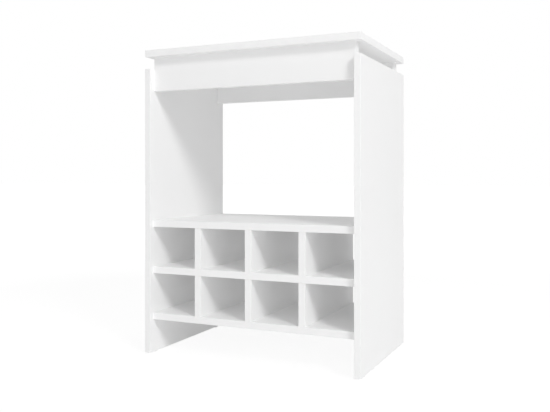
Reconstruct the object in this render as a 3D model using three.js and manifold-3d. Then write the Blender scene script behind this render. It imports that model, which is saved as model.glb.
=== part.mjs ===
// Bar counter with a bottle rack: two side panels, a top raised on two rails, and a rack of
// three shelves and six dividers held between the panels by cam fittings, dowels and housings.
// Millimetres, +Z up, floor at Z = 0, front towards -Y, centred on X and Y.
import * as THREE from 'three';
import { mergeVertices } from 'three/addons/utils/BufferGeometryUtils.js';
import Module from 'manifold-3d';

// Side panels
const COUNTER_WIDTH = 600; // over the outer faces of both panels
const COUNTER_DEPTH = 400; // front edge to back edge
const SIDE_HEIGHT = 757;
const SIDE_THICKNESS = 16;
const EDGE_EASE = 0.5; // chamfer on every board edge

// Top and the two rails that carry it
const TOP_THICKNESS = 18;
const SHADOW_GAP = 32; // open height between the panel tops and the top board
const RAIL_HEIGHT = 90;
const RAIL_THICKNESS = 16;
const RAIL_SETBACK = 20; // rail face behind the panel edge

// Bottle rack
const TOE_HEIGHT = 87; // panel foot to the underside of the bottom shelf
const RACK_SETBACK = 16; // shelf edge behind the panel edge
const SHELF_THICKNESS = 18;
const NICHE_HEIGHT = 106; // clear height of a niche
const DIVIDER_THICKNESS = 18;
const HOUSING_DEPTH = 3; // groove that takes a divider end
const HOUSING_STOP = 12; // groove end behind the shelf edge

// Cam fittings: a bolt screwed into one board and a cam in the other that pulls its head
const CAM_DIAMETER = 15;
const CAM_HEIGHT = 12.4;
const CAM_CROSS_LENGTH = 9;
const CAM_CROSS_WIDTH = 1.8;
const CAM_CROSS_DEPTH = 2.2;
const BOLT_REACH = 24; // joint face to the cam centre
const BOLT_THREAD_DIAMETER = 5.8;
const BOLT_THREAD_LENGTH = 11;
const BOLT_COLLAR_DIAMETER = 7.8;
const BOLT_COLLAR_LENGTH = 1.6;
const BOLT_SHANK_DIAMETER = 4.6;
const BOLT_HEAD_DIAMETER = 6.6;
const BOLT_HEAD_LENGTH = 5;
const BOLT_CHAMFER = 0.9;
const SHELF_CAM_INSET = 50; // cam centre behind the shelf edge
const RAIL_BOLT_RISE = 14; // above the lower rail edge
const TOP_BOLT_INSET = 90; // from the rail end

// Dowels
const DOWEL_DIAMETER = 8;
const DOWEL_IN_SIDE = 10;
const DOWEL_IN_END = 20;
const DOWEL_CHAMFER = 1;
const SHELF_DOWEL_INSET = 60; // dowel centre behind the shelf edge
const RAIL_DOWEL_DROP = 12; // below the panel top

// Nail-on glides under the panels
const GLIDE_DIAMETER = 14;
const GLIDE_HEIGHT = 3;
const GLIDE_CHAMFER = 0.8;
const GLIDE_INSET = 35; // glide centre behind the panel edge
const NAIL_DIAMETER = 2.6;
const NAIL_LENGTH = 14;
const NAIL_POINT = 3;

// Fits
const FIT_CLEARANCE = 0.3; // round a fitting in its bore and a divider in its housing
const ROUND_SIDES = 10;
const CAM_SIDES = 16;

const SIDES = [{ name: 'left', sign: -1 }, { name: 'right', sign: 1 }];
const DEPTHS = [{ name: 'front', sign: -1 }, { name: 'back', sign: 1 }];
const SHELVES = ['rack_bottom_shelf', 'rack_middle_shelf', 'rack_top_shelf'];
const DIVIDER_ROWS = ['lower', 'upper'];
const DIVIDER_PLACES = ['left', 'centre', 'right'];

// Levels and faces that follow from the sizes above
const INNER_WIDTH = COUNTER_WIDTH - 2 * SIDE_THICKNESS;
const INNER_FACE = INNER_WIDTH / 2;
const SIDE_TOP = GLIDE_HEIGHT + SIDE_HEIGHT;
const TOP_UNDERSIDE = SIDE_TOP + SHADOW_GAP;
const RAIL_BOTTOM = TOP_UNDERSIDE - RAIL_HEIGHT;
const RAIL_CENTRE_Y = COUNTER_DEPTH / 2 - RAIL_SETBACK - RAIL_THICKNESS / 2;
const SHELF_DEPTH = COUNTER_DEPTH - 2 * RACK_SETBACK;
const SHELF_PITCH = NICHE_HEIGHT + SHELF_THICKNESS;
const DIVIDERS_WIDTH = DIVIDER_PLACES.length * DIVIDER_THICKNESS;
const NICHE_WIDTH = (INNER_WIDTH - DIVIDERS_WIDTH) / (DIVIDER_PLACES.length + 1);

const WHITE_BOARD = { color: 0xf1f1ef, roughness: 0.55, metalness: 0 };
const ZINC = { color: 0xb9bcc0, roughness: 0.4, metalness: 0.9 };
const STEEL = { color: 0xa8abb0, roughness: 0.35, metalness: 1 };
const BEECH = { color: 0xc9a475, roughness: 0.75, metalness: 0 };
const WHITE_PLASTIC = { color: 0xe9e9e6, roughness: 0.45, metalness: 0 };

const wasm = await Module();
wasm.setup();
const counter = new THREE.Group();
counter.name = 'bar_counter_with_bottle_rack';

function vec(x, y, z) {
  return new THREE.Vector3(x, y, z);
}

// Closed solid of a geometry, without the flat triangles where a turned shape meets its axis.
function toSolid(geometry) {
  const bare = new THREE.BufferGeometry();
  bare.setAttribute('position', geometry.getAttribute('position'));
  bare.setIndex(geometry.index);
  const merged = mergeVertices(bare);
  const corners = [];
  for (let i = 0; i < merged.index.count; i += 3) {
    const [a, b, c] = [0, 1, 2].map((step) => merged.index.getX(i + step));
    if (a !== b && b !== c && c !== a) {
      corners.push(a, b, c);
    }
  }
  const vertProperties = new Float32Array(merged.getAttribute('position').array);
  const triVerts = new Uint32Array(corners);
  return new wasm.Manifold(new wasm.Mesh({ numProp: 3, vertProperties, triVerts }));
}

function toGeometry(solid) {
  const { vertProperties, triVerts } = solid.getMesh();
  const shared = new THREE.BufferGeometry();
  shared.setAttribute('position', new THREE.BufferAttribute(vertProperties, 3));
  shared.setIndex(new THREE.BufferAttribute(triVerts, 1));
  const faceted = shared.toNonIndexed();
  faceted.computeVertexNormals();
  return faceted;
}

function cutAway(solid, cutters) {
  return cutters.reduce((rest, cutter) => rest.subtract(toSolid(cutter)), solid);
}

function addMesh(parent, name, geometry, finish) {
  const mesh = new THREE.Mesh(geometry, new THREE.MeshStandardMaterial(finish));
  mesh.name = name;
  parent.add(mesh);
  return mesh;
}

function box(size) {
  return new THREE.BoxGeometry(size.x, size.y, size.z);
}

// Box with every edge chamfered, about its own centre.
function easedBox(size) {
  const halfX = size.x / 2 - EDGE_EASE;
  const halfY = size.y / 2 - EDGE_EASE;
  const halfZ = size.z / 2 - EDGE_EASE;
  const outline = new THREE.Shape();
  outline.moveTo(-halfX, -halfY);
  outline.lineTo(halfX, -halfY);
  outline.lineTo(halfX, halfY);
  outline.lineTo(-halfX, halfY);
  outline.closePath();
  const geometry = new THREE.ExtrudeGeometry(outline, {
    depth: 2 * halfZ,
    bevelEnabled: true,
    bevelThickness: EDGE_EASE,
    bevelSize: EDGE_EASE,
    bevelSegments: 1,
  });
  return geometry.translate(0, 0, -halfZ);
}

// Round bar along X between two stations.
function bar(diameter, start, end) {
  const geometry = new THREE.CylinderGeometry(diameter / 2, diameter / 2, end - start, ROUND_SIDES);
  return geometry.rotateZ(-Math.PI / 2).translate((start + end) / 2, 0, 0);
}

// Stands a piece up that was made along X.
function upright(geometry) {
  return geometry.rotateY(-Math.PI / 2);
}

// Piece turned about X from [station, radius] pairs, closed on the axis at both ends.
function turned(stations) {
  const points = stations.map(([station, radius]) => new THREE.Vector2(radius, station));
  return toGeometry(toSolid(new THREE.LatheGeometry(points, ROUND_SIDES).rotateZ(-Math.PI / 2)));
}

// Drum at the cam centre, between two levels across the thickness of its board.
function camDrum(diameter, low, high) {
  const geometry = new THREE.CylinderGeometry(diameter / 2, diameter / 2, high - low, CAM_SIDES);
  return geometry.rotateX(Math.PI / 2).translate(BOLT_REACH, 0, (low + high) / 2);
}

function dowelGeometry() {
  const radius = DOWEL_DIAMETER / 2;
  return turned([
    [-DOWEL_IN_SIDE, 0],
    [-DOWEL_IN_SIDE, radius - DOWEL_CHAMFER],
    [-DOWEL_IN_SIDE + DOWEL_CHAMFER, radius],
    [DOWEL_IN_END - DOWEL_CHAMFER, radius],
    [DOWEL_IN_END, radius - DOWEL_CHAMFER],
    [DOWEL_IN_END, 0],
  ]);
}

// Bolt with its thread behind the joint face, its collar on that face and its head in the cam.
function boltGeometry() {
  const thread = BOLT_THREAD_DIAMETER / 2;
  const collar = BOLT_COLLAR_DIAMETER / 2;
  const shank = BOLT_SHANK_DIAMETER / 2;
  const head = BOLT_HEAD_DIAMETER / 2;
  const collarStart = FIT_CLEARANCE;
  const collarEnd = collarStart + BOLT_COLLAR_LENGTH;
  const headStart = BOLT_REACH - BOLT_HEAD_LENGTH / 2;
  const headEnd = BOLT_REACH + BOLT_HEAD_LENGTH / 2;
  return turned([
    [-BOLT_THREAD_LENGTH, 0],
    [-BOLT_THREAD_LENGTH, thread - BOLT_CHAMFER],
    [-BOLT_THREAD_LENGTH + BOLT_CHAMFER, thread],
    [collarStart, thread],
    [collarStart, collar],
    [collarEnd, collar],
    [collarEnd, shank],
    [headStart, shank],
    [headStart, head],
    [headEnd - BOLT_CHAMFER, head],
    [headEnd, head - BOLT_CHAMFER],
    [headEnd, 0],
  ]);
}

// Cam with a cross recess in its face and a slot in its rim that takes the bolt head.
function camGeometry(boardThickness) {
  const face = -boardThickness / 2;
  const slotWide = BOLT_HEAD_DIAMETER + 2 * FIT_CLEARANCE;
  const slotStart = BOLT_REACH - CAM_DIAMETER;
  const slotEnd = BOLT_REACH + BOLT_HEAD_LENGTH / 2 + FIT_CLEARANCE;
  const slot = box(vec(slotEnd - slotStart, slotWide, slotWide)).translate((slotStart + slotEnd) / 2, 0, 0);
  const crossBars = [
    box(vec(CAM_CROSS_LENGTH, CAM_CROSS_WIDTH, 2 * CAM_CROSS_DEPTH)),
    box(vec(CAM_CROSS_WIDTH, CAM_CROSS_LENGTH, 2 * CAM_CROSS_DEPTH)),
  ];
  crossBars.forEach((crossBar) => crossBar.translate(BOLT_REACH, 0, face));
  const drum = toSolid(camDrum(CAM_DIAMETER, face, face + CAM_HEIGHT));
  return toGeometry(cutAway(drum, [slot, ...crossBars]));
}

// Glide disc on the floor with a nail that stands up into the panel foot.
function glideGeometry() {
  const disc = GLIDE_DIAMETER / 2;
  const nail = NAIL_DIAMETER / 2;
  const nailTip = GLIDE_HEIGHT + NAIL_LENGTH;
  return upright(turned([
    [0, 0],
    [0, disc - GLIDE_CHAMFER],
    [GLIDE_CHAMFER, disc],
    [GLIDE_HEIGHT, disc],
    [GLIDE_HEIGHT, nail],
    [nailTip - NAIL_POINT, nail],
    [nailTip, 0],
  ]));
}

function shelfBottom(level) {
  return GLIDE_HEIGHT + TOE_HEIGHT + level * SHELF_PITCH;
}

function dividerX(column) {
  return -INNER_FACE + (column + 1) * (NICHE_WIDTH + DIVIDER_THICKNESS) - DIVIDER_THICKNESS / 2;
}

// A board is a solid about its own centre, the place of that centre and the cuts made in it.
function makeBoard(centre, size) {
  return { centre, solid: toSolid(easedBox(size)), cutters: [] };
}

// Divider that stands on one shelf, with a tongue let into that shelf and the one above.
function makeDivider(row, column) {
  const centre = vec(dividerX(column), 0, shelfBottom(row) + SHELF_THICKNESS + NICHE_HEIGHT / 2);
  const divider = makeBoard(centre, vec(DIVIDER_THICKNESS, SHELF_DEPTH, NICHE_HEIGHT));
  const tongueLong = SHELF_DEPTH - 2 * (HOUSING_STOP + FIT_CLEARANCE);
  const tongueHigh = NICHE_HEIGHT + 2 * (HOUSING_DEPTH - FIT_CLEARANCE);
  divider.solid = divider.solid.add(toSolid(box(vec(DIVIDER_THICKNESS, tongueLong, tongueHigh))));
  return divider;
}

function makeBoards() {
  const boards = new Map();
  for (const side of SIDES) {
    const centre = vec(side.sign * (INNER_FACE + SIDE_THICKNESS / 2), 0, GLIDE_HEIGHT + SIDE_HEIGHT / 2);
    boards.set(`${side.name}_side_panel`, makeBoard(centre, vec(SIDE_THICKNESS, COUNTER_DEPTH, SIDE_HEIGHT)));
  }
  const topCentre = vec(0, 0, TOP_UNDERSIDE + TOP_THICKNESS / 2);
  boards.set('counter_top', makeBoard(topCentre, vec(COUNTER_WIDTH, COUNTER_DEPTH, TOP_THICKNESS)));
  for (const depth of DEPTHS) {
    const centre = vec(0, depth.sign * RAIL_CENTRE_Y, RAIL_BOTTOM + RAIL_HEIGHT / 2);
    boards.set(`${depth.name}_rail`, makeBoard(centre, vec(INNER_WIDTH, RAIL_THICKNESS, RAIL_HEIGHT)));
  }
  SHELVES.forEach((shelf, level) => {
    const centre = vec(0, 0, shelfBottom(level) + SHELF_THICKNESS / 2);
    boards.set(shelf, makeBoard(centre, vec(INNER_WIDTH, SHELF_DEPTH, SHELF_THICKNESS)));
  });
  DIVIDER_ROWS.forEach((rowName, row) => {
    DIVIDER_PLACES.forEach((place, column) => {
      boards.set(`${rowName}_divider_${place}`, makeDivider(row, column));
    });
  });
  return boards;
}

const boards = makeBoards();

// Notes a cutter, given in the axes of the counter, in those of the board that it cuts.
function cutBoard(name, cutter) {
  const { centre, cutters } = boards.get(name);
  cutters.push(cutter.translate(-centre.x, -centre.y, -centre.z));
}

// Group at a joint: its X runs from the joint face into the board that holds the fitting, and
// its Z runs into that board from the face where a cam is turned.
function addJoint(origin, along, into) {
  const across = vec(0, 0, 0).crossVectors(into, along);
  const joint = new THREE.Group();
  joint.setRotationFromMatrix(new THREE.Matrix4().makeBasis(along, across, into));
  joint.position.copy(origin);
  joint.updateMatrix();
  counter.add(joint);
  return joint;
}

// Bolt in one board and cam in the other, with their bores.
function addCamFitting(joint, boltBoard, camBoard, camBoardThickness, names) {
  const face = -camBoardThickness / 2;
  const threadBore = BOLT_THREAD_DIAMETER + 2 * FIT_CLEARANCE;
  const threadEnd = -BOLT_THREAD_LENGTH - FIT_CLEARANCE;
  const collarBore = BOLT_COLLAR_DIAMETER + 2 * FIT_CLEARANCE;
  const camBore = CAM_DIAMETER + 2 * FIT_CLEARANCE;
  const camEnd = face + CAM_HEIGHT + FIT_CLEARANCE;
  cutBoard(boltBoard, bar(threadBore, threadEnd, FIT_CLEARANCE).applyMatrix4(joint.matrix));
  cutBoard(camBoard, bar(collarBore, -FIT_CLEARANCE, BOLT_REACH).applyMatrix4(joint.matrix));
  cutBoard(camBoard, camDrum(camBore, face - FIT_CLEARANCE, camEnd).applyMatrix4(joint.matrix));
  addMesh(joint, names.bolt, boltGeometry(), STEEL);
  addMesh(joint, names.cam, camGeometry(camBoardThickness), ZINC);
}

function addDowel(joint, sideBoard, endBoard, name) {
  const bore = DOWEL_DIAMETER + 2 * FIT_CLEARANCE;
  const sideBore = bar(bore, -DOWEL_IN_SIDE - FIT_CLEARANCE, FIT_CLEARANCE);
  const endBore = bar(bore, -FIT_CLEARANCE, DOWEL_IN_END + FIT_CLEARANCE);
  cutBoard(sideBoard, sideBore.applyMatrix4(joint.matrix));
  cutBoard(endBoard, endBore.applyMatrix4(joint.matrix));
  addMesh(joint, name, dowelGeometry(), BEECH);
}

function addShelfJoint(level, side, depth, inset) {
  const y = depth.sign * (SHELF_DEPTH / 2 - inset);
  const z = shelfBottom(level) + SHELF_THICKNESS / 2;
  return addJoint(vec(side.sign * INNER_FACE, y, z), vec(-side.sign, 0, 0), vec(0, 0, 1));
}

// The outer shelves are drawn to the panels by cams in their undersides, the middle one has dowels.
function addShelfFittings(level, side, depth) {
  const shelf = SHELVES[level];
  const panel = `${side.name}_side_panel`;
  const place = `${side.name}_${depth.name}`;
  if (level > 0 && level < SHELVES.length - 1) {
    const joint = addShelfJoint(level, side, depth, SHELF_DOWEL_INSET);
    addDowel(joint, panel, shelf, `${shelf}_dowel_${place}`);
    return;
  }
  const joint = addShelfJoint(level, side, depth, SHELF_CAM_INSET);
  const names = { bolt: `${shelf}_bolt_${place}`, cam: `${shelf}_cam_${place}` };
  addCamFitting(joint, panel, shelf, SHELF_THICKNESS, names);
}

// A rail meets each panel with a bolt and a dowel, and the top with a bolt near each end. Both
// rails turn the face with the cams to the back.
function addRailFittings(depth, side) {
  const rail = `${depth.name}_rail`;
  const panel = `${side.name}_side_panel`;
  const y = depth.sign * RAIL_CENTRE_Y;
  const end = side.sign * INNER_FACE;
  const topBoltX = side.sign * (INNER_FACE - TOP_BOLT_INSET);
  const fromPanel = vec(-side.sign, 0, 0);
  const forward = vec(0, -1, 0);
  const boltJoint = addJoint(vec(end, y, RAIL_BOTTOM + RAIL_BOLT_RISE), fromPanel, forward);
  const dowelJoint = addJoint(vec(end, y, SIDE_TOP - RAIL_DOWEL_DROP), fromPanel, forward);
  const topJoint = addJoint(vec(topBoltX, y, TOP_UNDERSIDE), vec(0, 0, -1), forward);
  const endNames = { bolt: `${rail}_end_bolt_${side.name}`, cam: `${rail}_end_cam_${side.name}` };
  const topNames = { bolt: `${rail}_top_bolt_${side.name}`, cam: `${rail}_top_cam_${side.name}` };
  addCamFitting(boltJoint, panel, rail, RAIL_THICKNESS, endNames);
  addDowel(dowelJoint, panel, rail, `${rail}_dowel_${side.name}`);
  addCamFitting(topJoint, 'counter_top', rail, RAIL_THICKNESS, topNames);
}

function addGlide(side, depth) {
  const x = side.sign * (INNER_FACE + SIDE_THICKNESS / 2);
  const y = depth.sign * (COUNTER_DEPTH / 2 - GLIDE_INSET);
  const lyingBore = bar(NAIL_DIAMETER + 2 * FIT_CLEARANCE, -FIT_CLEARANCE, NAIL_LENGTH + FIT_CLEARANCE);
  cutBoard(`${side.name}_side_panel`, upright(lyingBore).translate(x, y, GLIDE_HEIGHT));
  const glide = addMesh(counter, `glide_${side.name}_${depth.name}`, glideGeometry(), WHITE_PLASTIC);
  glide.position.set(x, y, 0);
}

// Stopped grooves for the dividers of one row, in the shelf below and in the shelf above.
function cutHousings(row) {
  const grooveLong = SHELF_DEPTH - 2 * HOUSING_STOP;
  const grooveWide = DIVIDER_THICKNESS + 2 * FIT_CLEARANCE;
  const size = vec(grooveWide, grooveLong, 2 * HOUSING_DEPTH);
  const nicheFloor = shelfBottom(row) + SHELF_THICKNESS;
  DIVIDER_PLACES.forEach((place, column) => {
    cutBoard(SHELVES[row], box(size).translate(dividerX(column), 0, nicheFloor));
    cutBoard(SHELVES[row + 1], box(size).translate(dividerX(column), 0, nicheFloor + NICHE_HEIGHT));
  });
}

function addBoards() {
  for (const [name, board] of boards) {
    const finished = toGeometry(cutAway(board.solid, board.cutters));
    addMesh(counter, name, finished, WHITE_BOARD).position.copy(board.centre);
  }
}

for (const side of SIDES) {
  for (const depth of DEPTHS) {
    SHELVES.forEach((shelf, level) => addShelfFittings(level, side, depth));
    addRailFittings(depth, side);
    addGlide(side, depth);
  }
}
DIVIDER_ROWS.forEach((rowName, row) => cutHousings(row));
addBoards();

export default counter;
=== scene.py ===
"""White bar counter with a bottle rack: dressed meshes, finishes and studio.

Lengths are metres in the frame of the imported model: the origin is on the floor under the middle of the
counter, X runs to the right, Y to the back and Z up.
"""

import logging
import math
from collections.abc import Iterable
from dataclasses import dataclass, field
from enum import Enum

import bmesh
import bpy
from bmesh.types import BMesh
from mathutils import Euler, Matrix, Vector


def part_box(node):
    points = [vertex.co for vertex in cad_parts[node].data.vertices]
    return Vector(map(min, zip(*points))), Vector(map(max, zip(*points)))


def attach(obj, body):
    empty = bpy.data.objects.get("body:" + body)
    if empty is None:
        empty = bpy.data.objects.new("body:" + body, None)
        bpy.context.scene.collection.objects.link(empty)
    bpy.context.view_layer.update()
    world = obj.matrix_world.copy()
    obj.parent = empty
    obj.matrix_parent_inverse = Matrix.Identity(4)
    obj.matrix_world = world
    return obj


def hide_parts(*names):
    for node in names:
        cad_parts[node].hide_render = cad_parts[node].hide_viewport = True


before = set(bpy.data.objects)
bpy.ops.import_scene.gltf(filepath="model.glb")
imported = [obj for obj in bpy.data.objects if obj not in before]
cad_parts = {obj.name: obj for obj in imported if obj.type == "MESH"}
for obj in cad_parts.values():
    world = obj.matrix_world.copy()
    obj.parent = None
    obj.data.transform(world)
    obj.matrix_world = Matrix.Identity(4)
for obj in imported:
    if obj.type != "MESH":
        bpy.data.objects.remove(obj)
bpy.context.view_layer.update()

LOG = logging.getLogger("bar_counter")
BODY = "root"
HANDS = ("left", "right")
DEPTHS = ("front", "back")
WHITE = (1.0, 1.0, 1.0)

# Lengths under which two places count as one, from coarse to fine.
SNAP = 1e-5
WELD = 1e-6
HAIR = 1e-7

# Cosines: a face that looks along a side, and a face that lies flat in one.
FACING = 0.9
STRAIGHT = 0.99
SMOOTH_ANGLE = math.radians(38.0)
EDGE_ATTRIBUTE = "edge"

# Scales of the shared effects: flecks and smears against their group's scale, and where scuffs begin and end.
FLECK_SHARE = 0.31
SMEAR_SHARE = 5.0
WIPE_STRETCH = (1.0, 1.0, 0.35)
WORN_FROM = 0.52
WORN_TO = 0.72


class Axis(Enum):
    """A direction of the counter, as an index into a vector."""

    X = 0
    Y = 1
    Z = 2

    @property
    def direction(self) -> Vector:
        """Unit vector along the axis."""
        return Vector([1.0 if i == self.value else 0.0 for i in range(3)])

    @property
    def turn(self) -> Matrix:
        """Rotation that lays something made along Z along this axis."""
        return Vector((0.0, 0.0, 1.0)).rotation_difference(self.direction).to_matrix().to_4x4()


class Side(Enum):
    """One of the six sides of a board: its axis and which end of it."""

    LEFT = (Axis.X, -1)
    RIGHT = (Axis.X, 1)
    FRONT = (Axis.Y, -1)
    BACK = (Axis.Y, 1)
    BOTTOM = (Axis.Z, -1)
    TOP = (Axis.Z, 1)

    @property
    def axis(self) -> Axis:
        """Axis that the side faces along."""
        return self.value[0]

    @property
    def normal(self) -> Vector:
        """Outward unit vector of the side."""
        return self.value[0].direction * self.value[1]

    def level(self, low: Vector, high: Vector) -> float:
        """Place of the side along its axis, for a box from low to high."""
        return (high if self.value[1] > 0 else low)[self.axis.value]


class Coat(Enum):
    """Material slots of a board, in the order of its face indices."""

    FACE = 0
    BAND = 1
    CORE = 2


class Wiring:
    """Hand on a node tree that adds nodes, sets their inputs and links them."""

    def __init__(self, tree: bpy.types.NodeTree) -> None:
        """Takes a tree and empties it.

        Args:
            tree: Node tree of a material, a world or a group.
        """
        self.tree = tree
        tree.nodes.clear()

    def add(self, kind: str, settings: dict | None = None, **inputs: object) -> bpy.types.Node:
        """Adds a node.

        Args:
            kind: Type name of the node.
            settings: Properties of the node itself.
            inputs: Values or output sockets, by input name with underscores for spaces.

        Returns:
            The new node.
        """
        node = self.tree.nodes.new(kind)
        for name, value in (settings or {}).items():
            setattr(node, name, value)
        for name, value in inputs.items():
            self.feed(node.inputs[name.replace("_", " ")], value)
        return node

    def feed(self, socket: bpy.types.NodeSocket, value: object) -> None:
        """Links an output to a socket, or sets the socket's own value."""
        if isinstance(value, bpy.types.NodeSocket):
            self.tree.links.new(value, socket)
        else:
            socket.default_value = value

    def math(self, operation: str, first: object, second: object) -> bpy.types.NodeSocket:
        """Adds a Math node on two values or sockets and returns its output."""
        node = self.tree.nodes.new("ShaderNodeMath")
        node.operation = operation
        self.feed(node.inputs[0], first)
        self.feed(node.inputs[1], second)
        return node.outputs[0]

    def span(self, value: bpy.types.NodeSocket, low: float, high: float) -> bpy.types.NodeSocket:
        """Maps a value that runs from 0 to 1 to a span of numbers and returns the output."""
        return self.add("ShaderNodeMapRange", Value=value, To_Min=low, To_Max=high).outputs["Result"]

    def blend(self, share: bpy.types.NodeSocket, first: object, second: object) -> bpy.types.NodeSocket:
        """Mixes two colours by a share and returns the colour."""
        node = self.tree.nodes.new("ShaderNodeMix")
        node.data_type = "RGBA"
        self.feed(node.inputs[0], share)
        self.feed(node.inputs[6], first)
        self.feed(node.inputs[7], second)
        return node.outputs[2]


class Effect(Enum):
    """Surface effects that several finishes share, each a node group with named sockets."""

    GRAIN = "fine_grain"
    DRIFT = "tone_drift"
    SCUFF = "edge_scuff"

    def group(self) -> bpy.types.NodeTree:
        """Returns the node group of the effect, made on first use."""
        found = bpy.data.node_groups.get(self.value)
        if found is not None:
            return found
        tree = bpy.data.node_groups.new(self.value, "ShaderNodeTree")
        makers = {Effect.GRAIN: _wire_grain, Effect.DRIFT: _wire_drift, Effect.SCUFF: _wire_scuff}
        makers[self](tree)
        return tree


def _sockets(tree: bpy.types.NodeTree, inputs: dict[str, float], outputs: Iterable[str]) -> None:
    """Gives a group its named float sockets.

    Args:
        tree: Node group.
        inputs: Input names with their default values.
        outputs: Output names.
    """
    for name, value in inputs.items():
        tree.interface.new_socket(name, in_out="INPUT", socket_type="NodeSocketFloat").default_value = value
    for name in outputs:
        tree.interface.new_socket(name, in_out="OUTPUT", socket_type="NodeSocketFloat")


def _wire_grain(tree: bpy.types.NodeTree) -> None:
    """Fine pearl grain of a pressed or moulded surface.

    Args:
        tree: Empty group that gets a Scale input and Height and Fleck outputs.
    """
    _sockets(tree, {"Scale": 900.0}, ("Height", "Fleck"))
    wiring = Wiring(tree)
    scale = wiring.add("NodeGroupInput").outputs["Scale"]
    place = wiring.add("ShaderNodeTexCoord").outputs["Object"]
    pearl = wiring.add("ShaderNodeTexNoise", Vector=place, Scale=scale, Detail=3.0, Roughness=0.55)
    fine = wiring.math("MULTIPLY", scale, FLECK_SHARE)
    fleck = wiring.add("ShaderNodeTexVoronoi", Vector=place, Scale=fine, Randomness=1.0)
    out = wiring.add("NodeGroupOutput")
    wiring.feed(out.inputs["Height"], pearl.outputs["Fac"])
    wiring.feed(out.inputs["Fleck"], fleck.outputs["Distance"])


def _wire_drift(tree: bpy.types.NodeTree) -> None:
    """Slow change of tone and gloss over a surface, as hands and cloths leave it.

    Args:
        tree: Empty group that gets a Scale input and Tone and Smear outputs.
    """
    _sockets(tree, {"Scale": 6.0}, ("Tone", "Smear"))
    wiring = Wiring(tree)
    scale = wiring.add("NodeGroupInput").outputs["Scale"]
    place = wiring.add("ShaderNodeTexCoord").outputs["Object"]
    tone = wiring.add("ShaderNodeTexNoise", Vector=place, Scale=scale, Detail=2.0, Roughness=0.5)
    wiped = wiring.add("ShaderNodeMapping", Vector=place, Scale=WIPE_STRETCH)
    fine = wiring.math("MULTIPLY", scale, SMEAR_SHARE)
    smear = wiring.add("ShaderNodeTexNoise", Vector=wiped.outputs[0], Scale=fine, Detail=5.0, Roughness=0.6)
    out = wiring.add("NodeGroupOutput")
    wiring.feed(out.inputs["Tone"], tone.outputs["Fac"])
    wiring.feed(out.inputs["Smear"], smear.outputs["Fac"])


def _wire_scuff(tree: bpy.types.NodeTree) -> None:
    """Light scuffs that follow the eased edges of a piece.

    Args:
        tree: Empty group that gets a Scale input and a Mask output.
    """
    _sockets(tree, {"Scale": 140.0}, ("Mask",))
    wiring = Wiring(tree)
    scale = wiring.add("NodeGroupInput").outputs["Scale"]
    place = wiring.add("ShaderNodeTexCoord").outputs["Object"]
    edge = wiring.add("ShaderNodeAttribute", {"attribute_name": EDGE_ATTRIBUTE}).outputs["Fac"]
    patch = wiring.add("ShaderNodeTexNoise", Vector=place, Scale=scale, Detail=4.0, Roughness=0.65)
    worn = wiring.add("ShaderNodeMapRange", Value=patch.outputs["Fac"], From_Min=WORN_FROM, From_Max=WORN_TO)
    out = wiring.add("NodeGroupOutput")
    wiring.feed(out.inputs["Mask"], wiring.math("MULTIPLY", edge, worn.outputs["Result"]))


@dataclass(frozen=True)
class Finish:
    """A finish: what every one of them shares."""

    name: str
    colour: tuple[float, float, float]
    shade: tuple[float, float, float]
    roughness: tuple[float, float]
    grain_scale: float = 0.0
    grain_depth: float = 0.0
    metallic: float = 0.0
    specular: float = 0.5

    def material(self) -> bpy.types.Material:
        """Returns the material of the finish, made on first use."""
        found = bpy.data.materials.get(self.name)
        if found is not None:
            return found
        material = bpy.data.materials.new(self.name)
        material.use_nodes = True
        wiring = Wiring(material.node_tree)
        shader = wiring.add("ShaderNodeBsdfPrincipled", Metallic=self.metallic)
        shader.inputs["Specular IOR Level"].default_value = self.specular
        out = wiring.add("ShaderNodeOutputMaterial")
        wiring.feed(out.inputs["Surface"], shader.outputs["BSDF"])
        self.wire(wiring, shader)
        return material

    def effect(self, wiring: Wiring, effect: Effect, scale: float) -> bpy.types.Node:
        """Places a shared effect in the material.

        Args:
            wiring: Hand on the material's tree.
            effect: Which effect.
            scale: Value of its Scale input.

        Returns:
            The group node.
        """
        return wiring.add("ShaderNodeGroup", {"node_tree": effect.group()}, Scale=scale)

    def bump(self, wiring: Wiring, shader: bpy.types.Node, height: bpy.types.NodeSocket) -> None:
        """Feeds the shader's normal from a height that runs from 0 to 1."""
        bump = wiring.add("ShaderNodeBump", Strength=1.0, Distance=self.grain_depth, Height=height)
        wiring.feed(shader.inputs["Normal"], bump.outputs["Normal"])

    def wire(self, wiring: Wiring, shader: bpy.types.Node) -> None:
        """Wires colour, roughness and relief into the shader.

        Args:
            wiring: Hand on the material's tree.
            shader: Principled shader of the material.
        """
        raise NotImplementedError


def rgba(colour: tuple[float, float, float]) -> tuple[float, float, float, float]:
    """Adds an alpha of 1 to a colour."""
    return (*colour, 1.0)


@dataclass(frozen=True)
class Melamine(Finish):
    """Pressed white board face or its edge band: pearl grain, faint wipe marks, light scuffs on the edges."""

    drift_scale: float = 5.0
    scuff: float = 0.35
    scuff_scale: float = 160.0
    dirt_share: float = 0.86

    def wire(self, wiring: Wiring, shader: bpy.types.Node) -> None:
        """Wires the board face, see Finish.wire."""
        grain = self.effect(wiring, Effect.GRAIN, self.grain_scale)
        drift = self.effect(wiring, Effect.DRIFT, self.drift_scale)
        scuff = self.effect(wiring, Effect.SCUFF, self.scuff_scale)
        clean = wiring.blend(drift.outputs["Tone"], rgba(self.colour), rgba(self.shade))
        dirt = tuple(c * self.dirt_share for c in self.shade)
        worn = wiring.math("MULTIPLY", scuff.outputs["Mask"], self.scuff)
        wiring.feed(shader.inputs["Base Color"], wiring.blend(worn, clean, rgba(dirt)))
        gloss = wiring.span(drift.outputs["Smear"], *self.roughness)
        wiring.feed(shader.inputs["Roughness"], gloss)
        self.bump(wiring, shader, grain.outputs["Height"])


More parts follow.
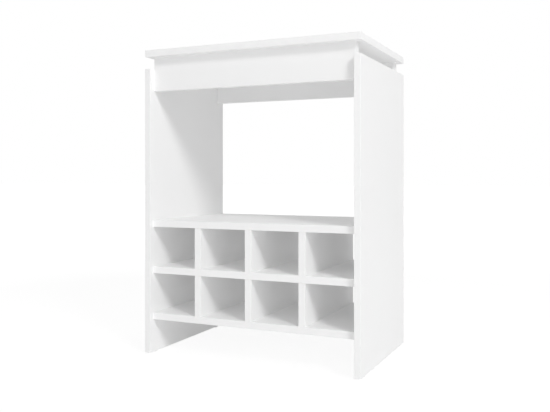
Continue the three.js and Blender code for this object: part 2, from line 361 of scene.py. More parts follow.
@dataclass(frozen=True)
class Chipboard(Finish):
    """Raw core that shows where a board is sawn, bored or grooved."""

    drift_scale: float = 40.0

    def wire(self, wiring: Wiring, shader: bpy.types.Node) -> None:
        """Wires the core, see Finish.wire."""
        grain = self.effect(wiring, Effect.GRAIN, self.grain_scale)
        drift = self.effect(wiring, Effect.DRIFT, self.drift_scale)
        chips = wiring.blend(grain.outputs["Fleck"], rgba(self.shade), rgba(self.colour))
        wiring.feed(shader.inputs["Base Color"], chips)
        wiring.feed(shader.inputs["Roughness"], wiring.span(drift.outputs["Smear"], *self.roughness))
        self.bump(wiring, shader, grain.outputs["Fleck"])


@dataclass(frozen=True)
class Metal(Finish):
    """Cast or turned metal: uneven sheen and a fine skin."""

    drift_scale: float = 90.0

    def wire(self, wiring: Wiring, shader: bpy.types.Node) -> None:
        """Wires the metal, see Finish.wire."""
        grain = self.effect(wiring, Effect.GRAIN, self.grain_scale)
        drift = self.effect(wiring, Effect.DRIFT, self.drift_scale)
        skin = wiring.blend(drift.outputs["Smear"], rgba(self.colour), rgba(self.shade))
        wiring.feed(shader.inputs["Base Color"], skin)
        wiring.feed(shader.inputs["Roughness"], wiring.span(grain.outputs["Height"], *self.roughness))
        self.bump(wiring, shader, grain.outputs["Height"])


@dataclass(frozen=True)
class Beech(Finish):
    """Beech with its grain along X, as all the dowels lie."""

    stretch: tuple[float, float, float] = (0.08, 1.0, 1.0)

    def wire(self, wiring: Wiring, shader: bpy.types.Node) -> None:
        """Wires the wood, see Finish.wire."""
        place = wiring.add("ShaderNodeTexCoord").outputs["Object"]
        along = wiring.add("ShaderNodeMapping", Vector=place, Scale=self.stretch)
        fibre = wiring.add(
            "ShaderNodeTexNoise",
            Vector=along.outputs[0],
            Scale=self.grain_scale,
            Detail=6.0,
            Roughness=0.7,
        )
        wood = wiring.blend(fibre.outputs["Fac"], rgba(self.colour), rgba(self.shade))
        wiring.feed(shader.inputs["Base Color"], wood)
        wiring.feed(shader.inputs["Roughness"], wiring.span(fibre.outputs["Fac"], *self.roughness))
        self.bump(wiring, shader, fibre.outputs["Fac"])


@dataclass(frozen=True)
class Plastic(Finish):
    """Moulded plastic with a matt skin."""

    drift_scale: float = 60.0

    def wire(self, wiring: Wiring, shader: bpy.types.Node) -> None:
        """Wires the plastic, see Finish.wire."""
        grain = self.effect(wiring, Effect.GRAIN, self.grain_scale)
        drift = self.effect(wiring, Effect.DRIFT, self.drift_scale)
        skin = wiring.blend(drift.outputs["Tone"], rgba(self.colour), rgba(self.shade))
        wiring.feed(shader.inputs["Base Color"], skin)
        wiring.feed(shader.inputs["Roughness"], wiring.span(drift.outputs["Smear"], *self.roughness))
        self.bump(wiring, shader, grain.outputs["Height"])


BOARD_FACE = Melamine(
    name="white_board_face",
    colour=(0.92, 0.92, 0.92),
    shade=(0.908, 0.908, 0.908),
    roughness=(0.50, 0.62),
    grain_scale=1400.0,
    grain_depth=0.00002,
    specular=0.2,
)
EDGE_BAND = Melamine(
    name="white_edge_band",
    colour=(0.92, 0.92, 0.92),
    shade=(0.91, 0.91, 0.91),
    roughness=(0.44, 0.54),
    grain_scale=2200.0,
    grain_depth=0.00001,
    specular=0.25,
    drift_scale=9.0,
    scuff=0.5,
)
BOARD_CORE = Chipboard(
    name="board_core",
    colour=(0.56, 0.41, 0.25),
    shade=(0.36, 0.24, 0.13),
    roughness=(0.82, 0.95),
    grain_scale=2600.0,
    grain_depth=0.0003,
)
CAM_ZINC = Metal(
    name="cam_zinc",
    colour=(0.62, 0.63, 0.64),
    shade=(0.50, 0.51, 0.52),
    roughness=(0.30, 0.48),
    grain_scale=2400.0,
    grain_depth=0.00003,
    metallic=1.0,
)
BOLT_STEEL = Metal(
    name="bolt_steel",
    colour=(0.66, 0.65, 0.62),
    shade=(0.54, 0.53, 0.50),
    roughness=(0.22, 0.36),
    grain_scale=3000.0,
    grain_depth=0.00001,
    metallic=1.0,
)
DOWEL_BEECH = Beech(
    name="dowel_beech",
    colour=(0.64, 0.46, 0.29),
    shade=(0.50, 0.33, 0.19),
    roughness=(0.62, 0.78),
    grain_scale=1500.0,
    grain_depth=0.00006,
)
GLIDE_PLASTIC = Plastic(
    name="glide_plastic",
    colour=(0.80, 0.80, 0.79),
    shade=(0.74, 0.74, 0.73),
    roughness=(0.42, 0.56),
    grain_scale=1800.0,
    grain_depth=0.00003,
)


@dataclass(frozen=True)
class Floor(Finish):
    """Pale studio floor: white where it is seen, with the counter's shadow left on it.

    Beyond the reach of the shadow it fades to full white.
    """

    drift_scale: float = 0.8
    white_share: float = 0.88
    shadow_share: float = 0.15
    fade: tuple[float, float] = (1.5, 4.0)

    def wire(self, wiring: Wiring, shader: bpy.types.Node) -> None:
        """Wires the floor, see Finish.wire."""
        drift = self.effect(wiring, Effect.DRIFT, self.drift_scale)
        tone = wiring.blend(drift.outputs["Tone"], rgba(self.colour), rgba(self.shade))
        wiring.feed(shader.inputs["Base Color"], tone)
        wiring.feed(shader.inputs["Roughness"], wiring.span(drift.outputs["Smear"], *self.roughness))
        mix = wiring.add("ShaderNodeMixShader", Fac=seen(wiring))
        wiring.feed(mix.inputs[1], shader.outputs["BSDF"])
        wiring.feed(mix.inputs[2], self._shown(wiring))
        out = next(n for n in wiring.tree.nodes if n.type == "OUTPUT_MATERIAL")
        wiring.feed(out.inputs["Surface"], mix.outputs["Shader"])

    def _shown(self, wiring: Wiring) -> bpy.types.NodeSocket:
        """Makes the look of the floor for rays that see it.

        Args:
            wiring: Hand on the material's tree.

        Returns:
            Output of a white glow with a thin veil that takes the shadow.
        """
        veil = wiring.add("ShaderNodeBsdfDiffuse", Color=rgba((self.shadow_share,) * 3))
        place = wiring.add("ShaderNodeTexCoord").outputs["Object"]
        reach = wiring.add("ShaderNodeVectorMath", {"operation": "LENGTH"}, Vector=place).outputs["Value"]
        near, far = self.fade
        faded = wiring.add("ShaderNodeMapRange", Value=reach, From_Min=near, From_Max=far, To_Max=1.0)
        wiring.feed(faded.inputs["To Min"], self.white_share)
        glow = wiring.add("ShaderNodeEmission", Color=rgba(WHITE), Strength=faded.outputs["Result"])
        both = wiring.add("ShaderNodeAddShader")
        wiring.feed(both.inputs[0], veil.outputs["BSDF"])
        wiring.feed(both.inputs[1], glow.outputs["Emission"])
        return both.outputs["Shader"]


STUDIO_FLOOR = Floor(
    name="studio_floor",
    colour=(0.96, 0.96, 0.96),
    shade=(0.94, 0.94, 0.94),
    roughness=(0.7, 0.8),
    specular=0.0,
)


def seen(wiring: Wiring) -> bpy.types.NodeSocket:
    """Returns 1 for rays that show a background: straight, mirrored or through glass."""
    path = wiring.add("ShaderNodeLightPath")
    mirrored = wiring.math("MAXIMUM", path.outputs["Is Camera Ray"], path.outputs["Is Glossy Ray"])
    return wiring.math("MAXIMUM", mirrored, path.outputs["Is Transmission Ray"])


@dataclass(frozen=True)
class Bore:
    """A straight cut in a board: round along an axis, or a square groove."""

    low: Vector
    high: Vector
    axis: Axis | None = None

    def grown(self, by: float) -> "Bore":
        """Returns the cut made wider all round by a length."""
        step = Vector((by, by, by))
        return Bore(self.low - step, self.high + step, self.axis)

    def meets(self, low: Vector, high: Vector) -> bool:
        """True if the cut reaches into a box."""
        return all(self.low[i] < high[i] - SNAP and self.high[i] > low[i] + SNAP for i in range(3))

    def add_to(self, mesh: BMesh, sides: int) -> None:
        """Adds the solid that makes the cut.

        Args:
            mesh: Mesh that gathers the cutters of one board.
            sides: Facets of a round cut.
        """
        size = self.high - self.low
        if self.axis is None:
            made = bmesh.ops.create_cube(mesh, size=1.0)["verts"]
            place = Matrix.Diagonal((*size, 1.0))
        else:
            across = [size[i] for i in range(3) if i != self.axis.value]
            made = bmesh.ops.create_cone(
                mesh,
                cap_ends=True,
                segments=sides,
                radius1=min(across) / 2.0,
                radius2=min(across) / 2.0,
                depth=size[self.axis.value],
            )["verts"]
            place = self.axis.turn
        bmesh.ops.transform(mesh, matrix=Matrix.Translation((self.low + self.high) / 2.0) @ place, verts=made)


def new_object(name: str, mesh: BMesh) -> bpy.types.Object:
    """Turns a bmesh into an object in the scene and frees it.

    Args:
        name: Name of the object.
        mesh: Finished bmesh, with its place in its vertices.

    Returns:
        The object, at the origin.
    """
    data = bpy.data.meshes.new(name)
    mesh.to_mesh(data)
    mesh.free()
    made = bpy.data.objects.new(name, data)
    bpy.context.scene.collection.objects.link(made)
    return made


def cut(mesh: BMesh, cutter: BMesh) -> BMesh:
    """Cuts one closed mesh out of another with an exact boolean.

    Args:
        mesh: Mesh that is cut; freed here.
        cutter: Closed solids that are taken away; freed here.

    Returns:
        A new bmesh of what is left.
    """
    body = new_object("body_to_cut", mesh)
    tool = new_object("cutting_tool", cutter)
    slots = [bpy.data.materials.new(coat.name) for coat in Coat]
    for made in (body, tool):
        for slot in slots:
            made.data.materials.append(slot)
    step = body.modifiers.new("cut", "BOOLEAN")
    step.operation = "DIFFERENCE"
    step.solver = "EXACT"
    step.use_self = True
    step.material_mode = "INDEX"
    step.object = tool
    graph = bpy.context.evaluated_depsgraph_get()
    left = bmesh.new()
    left.from_object(body, graph)
    for made in (body, tool):
        data = made.data
        bpy.data.objects.remove(made)
        bpy.data.meshes.remove(data)
    for slot in slots:
        bpy.data.materials.remove(slot)
    return left


def lathe(profile: Iterable[tuple[float, float]], steps: int) -> BMesh:
    """Spins a profile round Z into a closed solid.

    Args:
        profile: Points (radius, height) that start and end on the axis.
        steps: Facets round the axis.

    Returns:
        A new bmesh with its faces pointing out.
    """
    mesh = bmesh.new()
    points = [mesh.verts.new((radius, 0.0, height)) for radius, height in profile]
    edges = [mesh.edges.new(pair) for pair in zip(points, points[1:])]
    bmesh.ops.spin(
        mesh,
        geom=points + edges,
        cent=(0.0, 0.0, 0.0),
        axis=(0.0, 0.0, 1.0),
        angle=math.tau,
        steps=steps,
        use_merge=True,
    )
    bmesh.ops.remove_doubles(mesh, verts=mesh.verts, dist=WELD)
    bmesh.ops.recalc_face_normals(mesh, faces=mesh.faces)
    return mesh


def finish_shading(made: bpy.types.Object) -> None:
    """Smooths the rounded faces of a piece and keeps its corners sharp."""
    made.data.shade_smooth()
    made.data.set_sharp_from_angle(angle=SMOOTH_ANGLE)


def settle(made: bpy.types.Object, node: str, finishes: Iterable[Finish]) -> None:
    """Gives a piece its materials and ties it to the frame.

    Args:
        made: Object of the piece.
        node: CAD node that it stands for.
        finishes: Finishes in the order of the face indices.
    """
    for finish in finishes:
        made.data.materials.append(finish.material())
    finish_shading(made)
    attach(made, BODY)
    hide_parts(node)


@dataclass
class Board:
    """A white board with eased, banded edges and the bores and grooves of its joints."""

    node: str
    across: Axis
    square: tuple[Side, ...] = ()
    sawn: tuple[Side, ...] = ()
    tongue: float = 0.0
    tongue_stop: float = 0.0
    ease: float = 0.0005
    ease_segments: int = 3
    band: float = 0.001
    glue_line: float = 0.00012
    glue_depth: float = 0.00005
    bore_sides: int = 40
    piece: bpy.types.Object | None = None

    @property
    def box(self) -> tuple[Vector, Vector]:
        """Lowest and highest corner of the board without its tongues."""
        low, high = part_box(self.node)
        step = Vector((0.0, 0.0, self.tongue))
        return low + step, high - step

    def banded_sides(self) -> list[Side]:
        """Returns the edges with an eased band: neither a face nor a square end."""
        return [s for s in Side if s.axis != self.across and s not in self.square]

    def build(self, cuts: Iterable[Bore]) -> None:
        """Builds the mesh of the board.

        Args:
            cuts: Bores and grooves of all joints; those that meet the board are made in it.
        """
        low, high = self.box
        mesh = bmesh.new()
        place = Matrix.Translation((low + high) / 2.0) @ Matrix.Diagonal((*(high - low), 1.0))
        bmesh.ops.create_cube(mesh, size=1.0, matrix=place)
        self._ease_edges(mesh)
        self._mark_bands(mesh, low, high)
        if self.tongue:
            self._grow_tongues(mesh, low, high)
        mine = [c for c in cuts if c.meets(low, high)]
        if mine:
            tools = bmesh.new()
            for bore in mine:
                bore.add_to(tools, self.bore_sides)
            for face in tools.faces:
                face.material_index = Coat.CORE.value
            mesh = cut(mesh, tools)
        bmesh.ops.dissolve_degenerate(mesh, dist=HAIR, edges=mesh.edges)
        self.piece = new_object(f"{self.node}_board", mesh)

    def _ease_edges(self, mesh: BMesh) -> None:
        """Rounds the edges that show; those of a square end stay sharp."""
        shown = [
            edge
            for edge in mesh.edges
            if not any(f.normal.dot(side.normal) > FACING for f in edge.link_faces for side in self.square)
        ]
        bmesh.ops.bevel(
            mesh,
            geom=shown,
            offset=self.ease,
            offset_type="OFFSET",
            affect="EDGES",
            segments=self.ease_segments,
            profile=0.5,
            material=-1,
        )

    def _mark_bands(self, mesh: BMesh, low: Vector, high: Vector) -> None:
        """Scores the glue line behind each band and gives band, face and raw edge their coats.

        Args:
            mesh: Board with its edges eased.
            low: Lowest corner of the board.
            high: Highest corner of the board.
        """
        sides = self.banded_sides()
        middle = (low + high) / 2.0
        thick = self.across.value
        edge_layer = mesh.faces.layers.float.new(EDGE_ATTRIBUTE)
        for side in sides:
            for inset in (self.band, self.band + self.glue_line, self.band + 2.0 * self.glue_line):
                at = side.level(low, high) - side.normal[side.axis.value] * inset
                bmesh.ops.bisect_plane(
                    mesh,
                    geom=[*mesh.verts, *mesh.edges, *mesh.faces],
                    plane_co=side.axis.direction * at,
                    plane_no=side.normal,
                    dist=HAIR,
                )
        for vert in mesh.verts:
            reach = [abs(vert.co[s.axis.value] - s.level(low, high)) for s in sides]
            if any(abs(r - self.band - self.glue_line) < WELD for r in reach):
                vert.co[thick] += math.copysign(self.glue_depth, middle[thick] - vert.co[thick])
        mesh.normal_update()
        for face in mesh.faces:
            centre = face.calc_center_median()
            near = any(abs(centre[s.axis.value] - s.level(low, high)) < self.band for s in sides)
            ends = [side for side in self.square if face.normal.dot(side.normal) > FACING]
            coat = Coat.BAND if near or ends else Coat.FACE
            face.material_index = (Coat.CORE if any(side in self.sawn for side in ends) else coat).value
            face[edge_layer] = float(max(map(abs, face.normal)) < STRAIGHT)

    def _grow_tongues(self, mesh: BMesh, low: Vector, high: Vector) -> None:
        """Draws the tongues out of the square ends, stopped short of the front and back edge.

        Args:
            mesh: Board with its bands marked.
            low: Lowest corner of the board.
            high: Highest corner of the board.
        """
        stops = (low.y + self.tongue_stop, high.y - self.tongue_stop)
        for at in stops:
            bmesh.ops.bisect_plane(
                mesh,
                geom=[*mesh.verts, *mesh.edges, *mesh.faces],
                plane_co=(0.0, at, 0.0),
                plane_no=(0.0, 1.0, 0.0),
                dist=HAIR,
            )
        mesh.normal_update()
        for side in self.square:
            ends = [
                face
                for face in mesh.faces
                if face.normal.dot(side.normal) > FACING and stops[0] < face.calc_center_median().y < stops[1]
            ]
            grown = bmesh.ops.extrude_face_region(mesh, geom=ends)["geom"]
            bmesh.ops.translate(
                mesh,
                vec=side.normal * self.tongue,
                verts=[part for part in grown if isinstance(part, bmesh.types.BMVert)],
            )
            bmesh.ops.delete(mesh, geom=ends, context="FACES_ONLY")

    def dress(self) -> None:
        """Gives the board its coats and its place in the frame, and keeps its flat faces flat."""
        settle(self.piece, self.node, (BOARD_FACE, EDGE_BAND, BOARD_CORE))
        for face in self.piece.data.polygons:
            if face.material_index != Coat.CORE.value and max(map(abs, face.normal)) > STRAIGHT:
                face.use_smooth = False


@dataclass
class Assembly:
    """A sub-assembly of boards."""

    boards: list[Board] = field(default_factory=list)

    def build(self, cuts: Iterable[Bore]) -> None:
        """Builds the mesh of each board, see Board.build."""
        for board in self.boards:
            board.build(cuts)

    def dress(self) -> list[bpy.types.Object]:
        """Dresses each board and returns the pieces."""
        for board in self.boards:
            board.dress()
        return [board.piece for board in self.boards]


@dataclass
class SidePanels(Assembly):
    """Left and right panel, banded all round, with a square foot."""

    def __post_init__(self) -> None:
        """Lists the two panels."""
        foot = (Side.BOTTOM,)
        self.boards = [Board(f"{hand}_side_panel", Axis.X, square=foot) for hand in HANDS]


@dataclass
class CounterTop(Assembly):
    """Top board, banded all round."""

    def __post_init__(self) -> None:
        """Lists the one board."""
        self.boards = [Board("counter_top", Axis.Z)]


@dataclass
class Rails(Assembly):
    """Front and back rail, which stand between the panels and carry the top."""

    def __post_init__(self) -> None:
        """Lists the two rails."""
        square = (Side.LEFT, Side.RIGHT, Side.TOP)
        self.boards = [
            Board(f"{place}_rail", Axis.Y, square=square, sawn=(Side.TOP,)) for place in DEPTHS
        ]


@dataclass
class BottleRack(Assembly):
    """Three shelves with two rows of dividers let into them."""

    tongue: float = 0.0027
    tongue_stop: float = 0.0123
    end_play: float = 0.0003
    side_grip: float = 0.00005

    def __post_init__(self) -> None:
        """Lists the shelves and the dividers."""
        shelf_ends = (Side.LEFT, Side.RIGHT)
        divider_ends = (Side.BOTTOM, Side.TOP)
        self.boards = [
            Board(f"rack_{level}_shelf", Axis.Z, square=shelf_ends, sawn=shelf_ends)
            for level in ("bottom", "middle", "top")
        ]
        self.boards += [
            Board(
                f"{row}_divider_{place}",
                Axis.X,
                square=divider_ends,
                sawn=divider_ends,
                tongue=self.tongue,
                tongue_stop=self.tongue_stop,
            )
            for row in ("lower", "upper")
            for place in ("left", "centre", "right")
        ]

    def housings(self) -> list[Bore]:
        """Returns the grooves that take the tongues of the dividers, tight on their sides."""
        grooves = []
        for board in self.boards:
            if board.tongue:
                low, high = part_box(board.node)
                play = Vector((-self.side_grip, self.end_play - self.tongue_stop, self.end_play))
                deep = 2.0 * self.tongue
                for foot, head in ((low.z, low.z + deep), (high.z - deep, high.z)):
                    first = Vector((low.x, low.y, foot)) - play
                    last = Vector((high.x, high.y, head)) + play
                    grooves.append(Bore(first, last))
        return grooves


@dataclass
class Fittings:
    """Small pieces made once and set in each of their places."""

    sides: int = 48
    pieces: list[bpy.types.Object] = field(default_factory=list)

    def set_copy(self, master: BMesh, node: str, place: Matrix) -> bpy.types.Object:
        """Sets a copy of a master mesh in one place.

        Args:
            master: Mesh made along Z at the origin; kept.
            node: CAD node of the copy.
            place: Where the copy goes.

        Returns:
            The new object.
        """
        copy = master.copy()
        bmesh.ops.transform(copy, matrix=place, verts=copy.verts)
        made = new_object(f"{node}_fitting", copy)
        self.pieces.append(made)
        return made


@dataclass
class Cams(Fittings):
    """Cast cams: a drum with a cross recess in its face and a mouth for the head of its bolt."""

    radius: float = 0.0075
    height: float = 0.0124
    rim: float = 0.0005
    recess_long: float = 0.009
    recess_wide: float = 0.0018
    recess_deep: float = 0.0022
    mouth_wide: float = 0.0052
    mouth_deep: float = 0.0056
    mouth_level: float = 0.49
    groove_deep: float = 0.35
    groove_foot: tuple[float, float] = (0.30, 0.36)
    groove_head: tuple[float, float] = (0.62, 0.68)
    face_ring: float = 0.55
    clearance: float = 0.0002
    run_out: float = 0.002

    def nodes(self) -> list[tuple[str, Side, Vector]]:
        """Returns each cam's node, the side that its face shows on, and the way to its bolt."""
        found = []
        for hand in HANDS:
            out = Side.LEFT if hand == "left" else Side.RIGHT
            for level in ("bottom", "top"):
                for depth in DEPTHS:
                    found.append((f"rack_{level}_shelf_cam_{hand}_{depth}", Side.BOTTOM, out.normal))
            for rail in DEPTHS:
                found.append((f"{rail}_rail_end_cam_{hand}", Side.BACK, out.normal))
                found.append((f"{rail}_rail_top_cam_{hand}", Side.BACK, Side.TOP.normal))
        return found

    def bores(self) -> list[Bore]:
        """Returns the seats of the cams, open at the face they show on."""
        seats = []
        for node, side, _ in self.nodes():
            low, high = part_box(node)
            seat = Bore(low, high, side.axis).grown(self.clearance)
            mouth = side.normal * self.run_out
            first = Vector(map(min, seat.low, seat.low + mouth))
            last = Vector(map(max, seat.high, seat.high + mouth))
            seats.append(Bore(first, last, side.axis))
        return seats

    def master(self) -> BMesh:
        """Makes a cam along Z: its face at the top, its mouth towards +X."""
        r, h, e = self.radius, self.height, self.rim
        groove = self.groove_deep * r
        mesh = lathe(
            [
                (0.0, 0.0),
                (r - e, 0.0),
                (r, e),
                (r, self.groove_foot[0] * h),
                (r - groove, self.groove_foot[1] * h),
                (r - groove, self.groove_head[0] * h),
                (r, self.groove_head[1] * h),
                (r, h - e),
                (r - e, h),
                (self.face_ring * r, h),
                (0.0, h),
            ],
            self.sides,
        )
        tools = bmesh.new()
        for turn in (0.0, math.pi / 2.0):
            size = Matrix.Diagonal((self.recess_long, self.recess_wide, 2.0 * self.recess_deep, 1.0))
            place = Matrix.Translation((0.0, 0.0, h)) @ Matrix.Rotation(turn, 4, "Z") @ size
            bmesh.ops.create_cube(tools, size=1.0, matrix=place)
        mouth = Matrix.Diagonal((self.mouth_deep * 2.0, self.mouth_wide, self.mouth_wide, 1.0))
        level = Matrix.Translation((r, 0.0, h * self.mouth_level))
        bmesh.ops.create_cube(tools, size=1.0, matrix=level @ mouth)
        return cut(mesh, tools)

    def build(self) -> None:
        """Sets a cam in each seat."""
        master = self.master()
        for node, side, towards in self.nodes():
            low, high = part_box(node)
            up = side.normal
            across = up.cross(towards)
            turn = Matrix((towards, across, up)).transposed().to_4x4()
            back = (low + high) / 2.0 - up * self.height / 2.0
            self.set_copy(master, node, Matrix.Translation(back) @ turn)
        master.free()

    def dress(self) -> list[bpy.types.Object]:
        """Dresses the cams in zinc and returns them."""
        for made, (node, _, _) in zip(self.pieces, self.nodes()):
            settle(made, node, (CAM_ZINC,))
        return self.pieces


@dataclass
class Bolts(Fittings):
    """Turned bolts: a coarse thread in the side board, a collar, a neck and a round head for the cam."""

    thread_radius: float = 0.0029
    thread_long: float = 0.011
    tip: tuple[float, float] = (0.6, 0.5)
    ridges: int = 5
    ridge_deep: float = 0.0008
    ridge_start: float = 0.7
    ridge_half: float = 0.4
    collar_radius: float = 0.0039
    collar_long: float = 0.0016
    neck_radius: float = 0.0023
    head_radius: float = 0.0033
    head_long: float = 0.005
    neck_ease: float = 0.2
    head_shape: tuple[tuple[float, float], ...] = ((0.9, 0.2), (1.0, 0.4), (1.0, 0.7))
    head_end: float = 0.72
    clearance: float = 0.0002

    def nodes(self) -> list[tuple[str, Vector]]:
        """Returns each bolt's node and the way that its head points."""
        found = []
        for hand in HANDS:
            inward = (Side.RIGHT if hand == "left" else Side.LEFT).normal
            for level in ("bottom", "top"):
                for depth in DEPTHS:
                    found.append((f"rack_{level}_shelf_bolt_{hand}_{depth}", inward))
            for rail in DEPTHS:
                found.append((f"{rail}_rail_end_bolt_{hand}", inward))
                found.append((f"{rail}_rail_top_bolt_{hand}", Side.BOTTOM.normal))
        return found

    def bores(self) -> list[Bore]:
        """Returns the bores that take the bolts."""
        holes = []
        for node, way in self.nodes():
            axis = Axis.Z if abs(way.z) > FACING else Axis.X
            holes.append(Bore(*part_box(node), axis).grown(self.clearance))
        return holes

    def master(self, long: float) -> BMesh:
        """Makes a bolt along Z with its head up.

        Args:
            long: Whole length of the bolt.

        Returns:
            A new bmesh with its foot at the origin.
        """
        root = self.thread_radius - self.ridge_deep
        pitch = self.thread_long / (self.ridges + 1)
        profile = [(0.0, 0.0), (root * self.tip[0], 0.0), (root, pitch * self.tip[1])]
        half = pitch * self.ridge_half
        for i in range(self.ridges):
            foot = pitch * (i + self.ridge_start)
            profile += [(root, foot), (self.thread_radius, foot + half), (root, foot + 2.0 * half)]
        collar = self.thread_long + self.collar_long
        head = long - self.head_long
        profile += [
            (root, self.thread_long),
            (self.collar_radius, self.thread_long),
            (self.collar_radius, collar),
            (self.neck_radius, collar + self.neck_radius * self.neck_ease),
            (self.neck_radius, head),
        ]
        profile += [(self.head_radius * wide, head + self.head_long * up) for wide, up in self.head_shape]
        profile += [(self.head_radius * self.head_end, long), (0.0, long)]
        return lathe(profile, self.sides)

    def build(self) -> None:
        """Sets a bolt at each cam."""
        for node, way in self.nodes():
            low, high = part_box(node)
            long = abs((high - low).dot(way))
            master = self.master(long)
            turn = Vector((0.0, 0.0, 1.0)).rotation_difference(way).to_matrix().to_4x4()
            foot = (low + high) / 2.0 - way * long / 2.0
            self.set_copy(master, node, Matrix.Translation(foot) @ turn)
            master.free()

    def dress(self) -> list[bpy.types.Object]:
        """Dresses the bolts in steel and returns them."""
        for made, (node, _) in zip(self.pieces, self.nodes()):
            settle(made, node, (BOLT_STEEL,))
        return self.pieces


@dataclass
class Dowels(Fittings):
    """Fluted beech dowels with chamfered ends, all along X."""

    sides: int = 40
    radius: float = 0.004
    chamfer: float = 0.001
    flute: float = 0.00025
    clearance: float = 0.0002

    def nodes(self) -> list[str]:
        """Returns the dowels' nodes."""
        shelf = [f"rack_middle_shelf_dowel_{hand}_{depth}" for hand in HANDS for depth in DEPTHS]
        return shelf + [f"{rail}_rail_dowel_{hand}" for rail in DEPTHS for hand in HANDS]

    def bores(self) -> list[Bore]:
        """Returns the bores that take the dowels."""
        return [Bore(*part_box(node), Axis.X).grown(self.clearance) for node in self.nodes()]

    def build(self) -> None:
        """Sets a dowel in each place."""
        for node in self.nodes():
            low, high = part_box(node)
            long = high.x - low.x
            r, c = self.radius, self.chamfer
            profile = [(0.0, 0.0), (r - c, 0.0), (r, c), (r, long - c), (r - c, long), (0.0, long)]
            master = lathe(profile, self.sides)
            self._flute(master)
            foot = Vector((low.x, (low.y + high.y) / 2.0, (low.z + high.z) / 2.0))
            self.set_copy(master, node, Matrix.Translation(foot) @ Axis.X.turn)
            master.free()

    def _flute(self, mesh: BMesh) -> None:
        """Draws every second line of the outer wall in towards the axis."""
        step = math.tau / self.sides
        for vert in mesh.verts:
            out = math.hypot(vert.co.x, vert.co.y)
            line = round(math.atan2(vert.co.y, vert.co.x) / step)
            if out > self.radius - WELD and line % 2:
                share = 1.0 - self.flute / out
                vert.co.x *= share
                vert.co.y *= share

    def dress(self) -> list[bpy.types.Object]:
        """Dresses the dowels in beech and returns them."""
        for made, node in zip(self.pieces, self.nodes()):
            settle(made, node, (DOWEL_BEECH,))
        return self.pieces


@dataclass
class Glides(Fittings):
    """Nail-on glides: a domed plastic foot on a steel nail."""

    radius: float = 0.007
    height: float = 0.003
    rim: float = 0.0008
    nail_radius: float = 0.0013
    nail_point: float = 0.003
    sole: float = 0.55
    dome: tuple[tuple[float, float], ...] = ((1.0, 0.12), (0.3, 0.4), (0.0, 1.0))
    shoulder: float = 0.4
    hole_lead: float = 0.001
    clearance: float = 0.0002

    def nodes(self) -> list[str]:
        """Returns the glides' nodes."""
        return [f"glide_{hand}_{depth}" for hand in HANDS for depth in DEPTHS]

    def bores(self) -> list[Bore]:
        """Returns the holes that the nails make in the panels."""
        holes = []
        for node in self.nodes():
            low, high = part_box(node)
            middle = (low + high) / 2.0
            reach = Vector((self.nail_radius, self.nail_radius, 0.0))
            foot = Vector((middle.x, middle.y, low.z + self.height - self.hole_lead)) - reach
            head = Vector((middle.x, middle.y, high.z)) + reach
            holes.append(Bore(foot, head, Axis.Z).grown(self.clearance))
        return holes

    def build(self) -> None:
        """Sets a glide under each corner."""
        for node in self.nodes():
            low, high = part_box(node)
            long = high.z - low.z
            r, e = self.radius, self.rim
            shoulder = self.shoulder * e
            profile = [(0.0, 0.0), (self.sole * r, 0.0)]
            profile += [(r - inset * e, up * e) for inset, up in self.dome]
            profile += [
                (r, self.height - shoulder),
                (r - shoulder, self.height),
                (self.nail_radius, self.height),
                (self.nail_radius, long - self.nail_point),
                (0.0, long),
            ]
            master = lathe(profile, self.sides)
            for face in master.faces:
                face.material_index = int(face.calc_center_median().z > self.height + WELD)
            middle = (low + high) / 2.0
            self.set_copy(master, node, Matrix.Translation((middle.x, middle.y, low.z)))
            master.free()

    def dress(self) -> list[bpy.types.Object]:
        """Dresses the glides in plastic with steel nails and returns them."""
        for made, node in zip(self.pieces, self.nodes()):
            settle(made, node, (GLIDE_PLASTIC, BOLT_STEEL))
        return self.pieces


@dataclass(frozen=True)
class Lamp:
    """A round softbox: its light at the counter, its width and its place as seen from there, in degrees."""

    name: str
    strength: float
    width: float
    distance: float
    azimuth: float
    elevation: float
    aim: tuple[float, float, float] = (0.0, -0.1, 0.45)

    def build(self) -> None:
        """Hangs the softbox, turned to the counter; azimuth runs from the front to the right."""
        data = bpy.data.lights.new(self.name, "AREA")
        data.shape = "DISK"
        data.size = self.width
        data.energy = self.strength * math.pi * self.distance**2
        made = bpy.data.objects.new(self.name, data)
        turn = Euler((math.radians(90.0 - self.elevation), 0.0, math.radians(self.azimuth)))
        made.rotation_euler = turn
        made.location = Vector(self.aim) + turn.to_matrix() @ Vector((0.0, 0.0, self.distance))
        made.visible_camera = False
        bpy.context.scene.collection.objects.link(made)


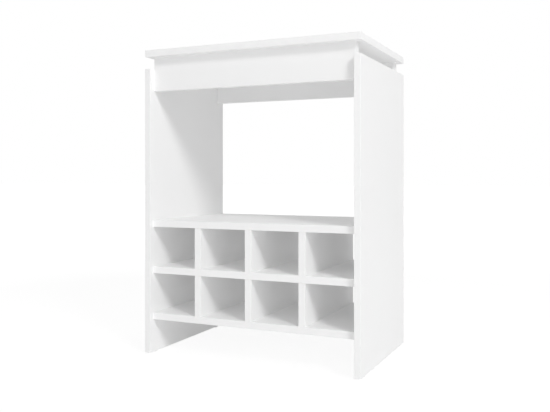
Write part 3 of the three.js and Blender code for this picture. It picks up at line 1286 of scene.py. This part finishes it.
@dataclass
class Studio:
    """Pale floor, white surroundings, three softboxes and the camera."""

    floor_reach: float = 30.0
    floor_cells: int = 8
    bounces: int = 16
    ambient: float = 0.472
    lamps: tuple[Lamp, ...] = (
        Lamp("soft_key", strength=1.24, width=1.5, distance=6.0, azimuth=54.0, elevation=34.0),
        Lamp("low_fill", strength=0.29, width=4.0, distance=9.0, azimuth=20.0, elevation=16.0),
        Lamp("overhead", strength=0.78, width=1.6, distance=4.0, azimuth=0.0, elevation=90.0),
    )
    camera_place: tuple[float, float, float] = (0.79328, -1.74869, 0.47425)
    camera_yaw: float = math.radians(24.66)
    lens: float = 45.634
    sensor: float = 36.0
    shift_y: float = -0.0545

    def build(self) -> None:
        """Builds the floor, the light and the camera."""
        mesh = bmesh.new()
        cells = self.floor_cells
        bmesh.ops.create_grid(mesh, x_segments=cells, y_segments=cells, size=self.floor_reach)
        floor = new_object("studio_floor", mesh)
        floor.data.materials.append(STUDIO_FLOOR.material())
        settings = bpy.context.scene.cycles
        settings.max_bounces = self.bounces
        settings.diffuse_bounces = self.bounces
        for lamp in self.lamps:
            lamp.build()
        self._surround()
        self._aim()

    def _surround(self) -> None:
        """Makes the white surroundings, full white where they are seen."""
        world = bpy.data.worlds.new("white_surround")
        world.use_nodes = True
        bpy.context.scene.world = world
        wiring = Wiring(world.node_tree)
        lit = wiring.add("ShaderNodeBackground", Color=rgba(WHITE), Strength=self.ambient)
        shown = wiring.add("ShaderNodeBackground", Color=rgba(WHITE), Strength=1.0)
        mix = wiring.add("ShaderNodeMixShader", Fac=seen(wiring))
        wiring.feed(mix.inputs[1], lit.outputs["Background"])
        wiring.feed(mix.inputs[2], shown.outputs["Background"])
        out = wiring.add("ShaderNodeOutputWorld")
        wiring.feed(out.inputs["Surface"], mix.outputs["Shader"])

    def _aim(self) -> None:
        """Sets the camera at the viewing angle of the photograph, level and shifted down."""
        lens = bpy.data.cameras.new("camera")
        lens.lens = self.lens
        lens.sensor_width = self.sensor
        lens.shift_y = self.shift_y
        made = bpy.data.objects.new("camera", lens)
        made.location = self.camera_place
        made.rotation_euler = (math.pi / 2.0, 0.0, self.camera_yaw)
        bpy.context.scene.collection.objects.link(made)
        bpy.context.scene.camera = made


def main() -> None:
    """Builds and dresses the counter, then the studio."""
    logging.basicConfig(level=logging.INFO, format="%(message)s")
    bpy.context.scene.view_settings.view_transform = "Standard"
    rack = BottleRack()
    fittings = [Cams(), Bolts(), Dowels(), Glides()]
    cuts = rack.housings()
    for fitting in fittings:
        cuts += fitting.bores()
    for assembly in (SidePanels(), CounterTop(), Rails(), rack):
        assembly.build(cuts)
        for piece in assembly.dress():
            LOG.info("%s: %d faces", piece.name, len(piece.data.polygons))
    for fitting in fittings:
        fitting.build()
        for piece in fitting.dress():
            LOG.info("%s: %d faces", piece.name, len(piece.data.polygons))
    Studio().build()


if __name__ == "__main__":
    main()
